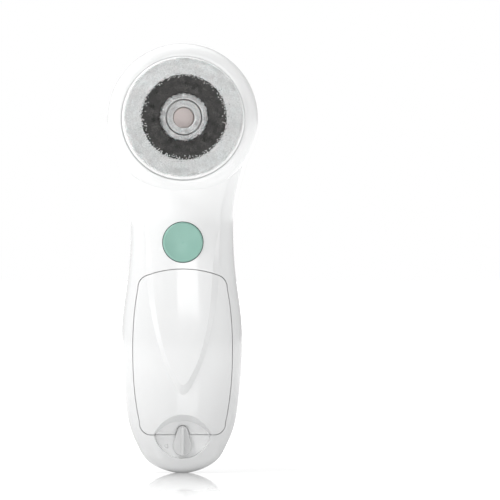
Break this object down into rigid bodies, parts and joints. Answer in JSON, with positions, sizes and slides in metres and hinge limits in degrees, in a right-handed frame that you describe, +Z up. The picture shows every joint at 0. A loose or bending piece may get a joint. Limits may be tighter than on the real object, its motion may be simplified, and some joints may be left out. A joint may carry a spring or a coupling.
{
  "type": "facial cleansing brush",
  "caption": "Hand-held battery facial cleansing brush: rotating round bristle head, rounded handle, push button, hinged battery cover and turning lock.",
  "frame": {"origin": "centre of the small flat at the foot of the handle", "axes": "+Z up the handle to the head, bristles facing -Y, +X to the right seen from the bristle side"},
  "size_m": [0.07, 0.0564, 0.2],
  "materials": {
    "gloss_white": "glossy moulded white plastic",
    "mint": "satin mint soft-touch plastic",
    "brush_white": "fine white synthetic bristles",
    "brush_charcoal": "fine charcoal synthetic bristles",
    "hub_grey": "satin warm grey plastic",
    "seal_rubber": "soft grey silicone rubber",
    "dark_rubber": "black rubber",
    "inner_white": "matt white moulded plastic",
    "acetal": "natural acetal",
    "steel": "machined steel",
    "spring_steel": "nickel-plated spring steel",
    "bronze": "sintered bronze",
    "circuit_green": "green laminate with solder mask",
    "black_plastic": "black moulded plastic",
    "cell": "plain sleeved cell",
    "copper": "enamelled copper and laminated steel",
    "ferrite": "ferrite",
    "lead_red": "red wire sleeving",
    "lead_black": "black wire sleeving"
  },
  "bodies": {
    "body": {"front_shell": "gloss_white", "rear_shell": "gloss_white", "shell_seal": "seal_rubber", "cover_seal": "seal_rubber", "shaft_seal": "dark_rubber", "shell_screws": "steel", "board_screws": "steel", "gearbox_screws": "steel", "motor_screws": "steel", "circuit_board": "circuit_green", "board_components": "black_plastic", "push_switch": "black_plastic", "battery_tray": "inner_white", "battery_left": "cell", "battery_right": "cell", "contact_springs": "spring_steel", "contact_plates": "spring_steel", "motor_can": "steel", "motor_end_cap": "black_plastic", "motor_magnets": "ferrite", "battery_lead_red": "lead_red", "battery_lead_black": "lead_black", "motor_lead_red": "lead_red", "motor_lead_black": "lead_black", "gearbox_base": "acetal", "gearbox_cover": "acetal", "gear_axle": "steel", "bushing_rear": "bronze", "bushing_front": "bronze"},
    "power_button": {"power_button": "mint", "button_o_ring": "dark_rubber"},
    "switch_plunger": {"switch_plunger": "acetal"},
    "battery_cover": {"battery_cover": "gloss_white"},
    "lock_knob": {"lock_knob": "gloss_white", "lock_o_ring": "dark_rubber", "lock_cam": "steel", "lock_screw": "steel"},
    "spindle": {"drive_spindle": "steel", "output_gear": "acetal", "spindle_clip": "spring_steel"},
    "compound_gear": {"compound_gear": "acetal"},
    "motor_rotor": {"motor_rotor": "copper", "motor_shaft": "steel", "motor_pinion": "bronze"},
    "brush_head": {"brush_plate": "gloss_white", "hub_cap": "hub_grey", "bristles_outer": "brush_white", "bristles_charcoal": "brush_charcoal", "bristles_middle": "brush_white", "bristles_inner": "brush_white"}
  },
  "joints": [
    {"name": "brush_spin", "type": "hinge", "parent": "body", "child": "spindle", "pos_m": [0, 0, 0.165], "axis": [0, -1, 0], "continuous": true},
    {"name": "compound_spin", "type": "hinge", "parent": "body", "child": "compound_gear", "pos_m": [0.00556, 0, 0.15107], "axis": [0, -1, 0], "continuous": true},
    {"name": "motor_spin", "type": "hinge", "parent": "body", "child": "motor_rotor", "pos_m": [0, 0, 0.141], "axis": [0, -1, 0], "continuous": true},
    {"name": "brush_pull_off", "type": "slide", "parent": "spindle", "child": "brush_head", "axis": [0, -1, 0], "range_m": [0, 0.02]},
    {"name": "power_press", "type": "slide", "parent": "body", "child": "power_button", "axis": [0, 1, 0], "range_m": [0, 0.001], "stiffness_N_per_m": 1200},
    {"name": "switch_press", "type": "slide", "parent": "body", "child": "switch_plunger", "axis": [0, 1, 0], "range_m": [0, 0.001]},
    {"name": "cover_open", "type": "hinge", "parent": "body", "child": "battery_cover", "pos_m": [0, -0.0166, 0.0951], "axis": [-1, 0, 0], "range_deg": [0, 40]},
    {"name": "lock_turn", "type": "hinge", "parent": "body", "child": "lock_knob", "pos_m": [0, -0.0092, 0.0128], "axis": [0, -0.9994, -0.0349], "range_deg": [0, 90]}
  ],
  "couplings": [
    {"joint": "compound_spin", "follows": "brush_spin", "ratio": -4},
    {"joint": "motor_spin", "follows": "brush_spin", "ratio": 14.4},
    {"joint": "switch_press", "follows": "power_press", "ratio": 1}
  ]
}
